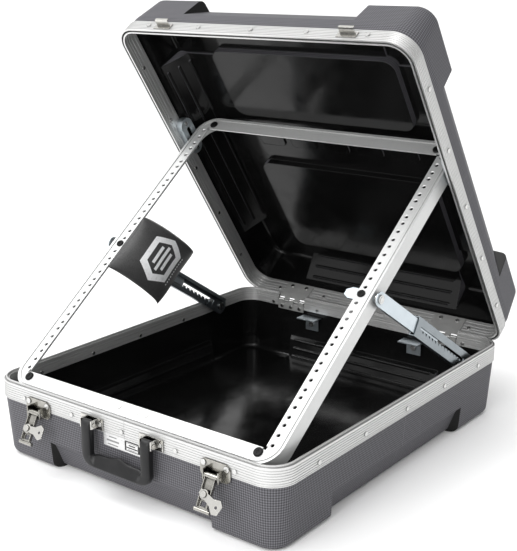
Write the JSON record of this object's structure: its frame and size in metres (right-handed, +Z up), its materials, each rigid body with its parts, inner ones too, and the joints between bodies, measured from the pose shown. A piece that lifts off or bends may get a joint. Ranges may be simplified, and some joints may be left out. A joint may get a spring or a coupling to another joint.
{
  "type": "equipment rack case",
  "caption": "Moulded portable case with aluminium rims, a hinged lid leaning back, and a rack rail frame raised at an angle on two telescopic struts.",
  "frame": {"origin": "bottom centre of the bounding box, on the surface that the case stands on", "axes": "+Z up, +Y to the rear where the lid hinges are, +X to the right when facing the handle"},
  "size_m": [0.545, 0.736, 0.6712],
  "materials": {
    "shell_abs": "fine woven grain outside, gloss inside",
    "rim_aluminium": "fluted, satin anodised",
    "gasket_rubber": "matt",
    "frame_aluminium": "satin",
    "zinc_steel": "bright zinc plated",
    "hinge_steel": "nickel plated",
    "chrome": "polished",
    "rivet_steel": "plated",
    "black_screws": "black oxide",
    "handle_plastic": "moulded, semi-gloss",
    "plate_aluminium": "brushed",
    "label_black": "gloss",
    "flap_leatherette": "grained leatherette"
  },
  "bodies": {
    "case_base": {"base_shell": "shell_abs", "base_rim": "rim_aluminium", "base_rim_splice": "zinc_steel", "base_rim_rivets": "rivet_steel", "hinge_base_leaves": "hinge_steel", "hinge_pins": "rivet_steel", "hinge_base_rivets": "rivet_steel", "frame_rests": "zinc_steel", "frame_rest_screws": "rivet_steel", "tilt_base_leaves": "zinc_steel", "tilt_pins": "rivet_steel", "tilt_rivets": "rivet_steel", "strut_lower_pivots": "rivet_steel", "latch_plates": "chrome", "latch_pins": "chrome", "latch_plate_rivets": "rivet_steel", "handle_brackets": "chrome", "handle_bracket_rivets": "rivet_steel", "handle_pins": "chrome", "nameplate": "plate_aluminium", "nameplate_label": "label_black"},
    "lid": {"lid_shell": "shell_abs", "lid_rim": "rim_aluminium", "lid_rim_splice": "zinc_steel", "lid_rim_rivets": "rivet_steel", "lid_gasket": "gasket_rubber", "hinge_lid_leaves": "hinge_steel", "hinge_lid_rivets": "rivet_steel", "lid_catch_brackets": "zinc_steel", "lid_catch_rivets": "rivet_steel", "latch_keepers": "chrome"},
    "frame": {"rack_frame": "frame_aluminium", "frame_splice": "frame_aluminium", "frame_splice_rivets": "rivet_steel", "frame_corner_brackets": "frame_aluminium", "frame_corner_screws": "black_screws", "strut_tabs": "zinc_steel", "strut_tab_screws": "black_screws", "strut_studs": "zinc_steel", "tilt_frame_leaves": "zinc_steel", "flap": "flap_leatherette"},
    "handle_bail": {"handle": "handle_plastic"},
    "strut_outer_left_body": {"strut_outer_left": "zinc_steel"},
    "strut_inner_left_body": {"strut_inner_left": "zinc_steel", "strut_eye_rivet_left": "rivet_steel", "strut_pawl_left": "zinc_steel"},
    "latch_arm_left_body": {"latch_arm_left": "chrome", "latch_wing_stud_left": "chrome"},
    "latch_wing_left_body": {"latch_wing_left": "chrome"},
    "strut_outer_right_body": {"strut_outer_right": "zinc_steel"},
    "strut_inner_right_body": {"strut_inner_right": "zinc_steel", "strut_eye_rivet_right": "rivet_steel", "strut_pawl_right": "zinc_steel"},
    "latch_arm_right_body": {"latch_arm_right": "chrome", "latch_wing_stud_right": "chrome"},
    "latch_wing_right_body": {"latch_wing_right": "chrome"}
  },
  "joints": [
    {"name": "lid_hinge", "type": "hinge", "parent": "case_base", "child": "lid", "pos_m": [0, 0.2854, 0.10985], "axis": [-1, 0, 0], "range_deg": [0, 54]},
    {"name": "frame_tilt", "type": "hinge", "parent": "case_base", "child": "frame", "pos_m": [0, -0.31696, 0.10288], "axis": [1, 0, 0], "range_deg": [-37.08, 0], "deforming": ["flap"]},
    {"name": "handle_swing", "type": "hinge", "parent": "case_base", "child": "handle_bail", "pos_m": [0, -0.3431, 0.105], "axis": [-1, 0, 0], "range_deg": [0, 95]},
    {"name": "strut_swing_left", "type": "hinge", "parent": "case_base", "child": "strut_outer_left_body", "pos_m": [-0.2559, 0.1909, 0.106], "axis": [1, 0, 0], "range_deg": [0, 32.75]},
    {"name": "strut_slide_left", "type": "slide", "parent": "strut_outer_left_body", "child": "strut_inner_left_body", "axis": [0, -0.8413, 0.5405], "range_m": [-0.11317, 0]},
    {"name": "latch_swing_left", "type": "hinge", "parent": "case_base", "child": "latch_arm_left_body", "pos_m": [-0.17, -0.3421, 0.091], "axis": [-1, 0, 0], "range_deg": [0, 130]},
    {"name": "wing_turn_left", "type": "hinge", "parent": "latch_arm_left_body", "child": "latch_wing_left_body", "pos_m": [-0.17, -0.35781, 0.07207], "axis": [0, -0.891, 0.454], "range_deg": [-90, 20]},
    {"name": "strut_swing_right", "type": "hinge", "parent": "case_base", "child": "strut_outer_right_body", "pos_m": [0.2559, 0.1909, 0.106], "axis": [1, 0, 0], "range_deg": [0, 32.75]},
    {"name": "strut_slide_right", "type": "slide", "parent": "strut_outer_right_body", "child": "strut_inner_right_body", "axis": [0, -0.8413, 0.5405], "range_m": [-0.11317, 0]},
    {"name": "latch_swing_right", "type": "hinge", "parent": "case_base", "child": "latch_arm_right_body", "pos_m": [0.17, -0.3421, 0.091], "axis": [-1, 0, 0], "range_deg": [0, 130]},
    {"name": "wing_turn_right", "type": "hinge", "parent": "latch_arm_right_body", "child": "latch_wing_right_body", "pos_m": [0.17, -0.35781, 0.07207], "axis": [0, -0.891, 0.454], "range_deg": [-66, 44]}
  ],
  "couplings": [
    {"joint": "strut_swing_left", "follows": "frame_tilt", "ratio": -0.88329},
    {"joint": "strut_slide_left", "follows": "frame_tilt", "m_per_rad": 0.17485},
    {"joint": "strut_swing_right", "follows": "frame_tilt", "ratio": -0.88329},
    {"joint": "strut_slide_right", "follows": "frame_tilt", "m_per_rad": 0.17485}
  ]
}
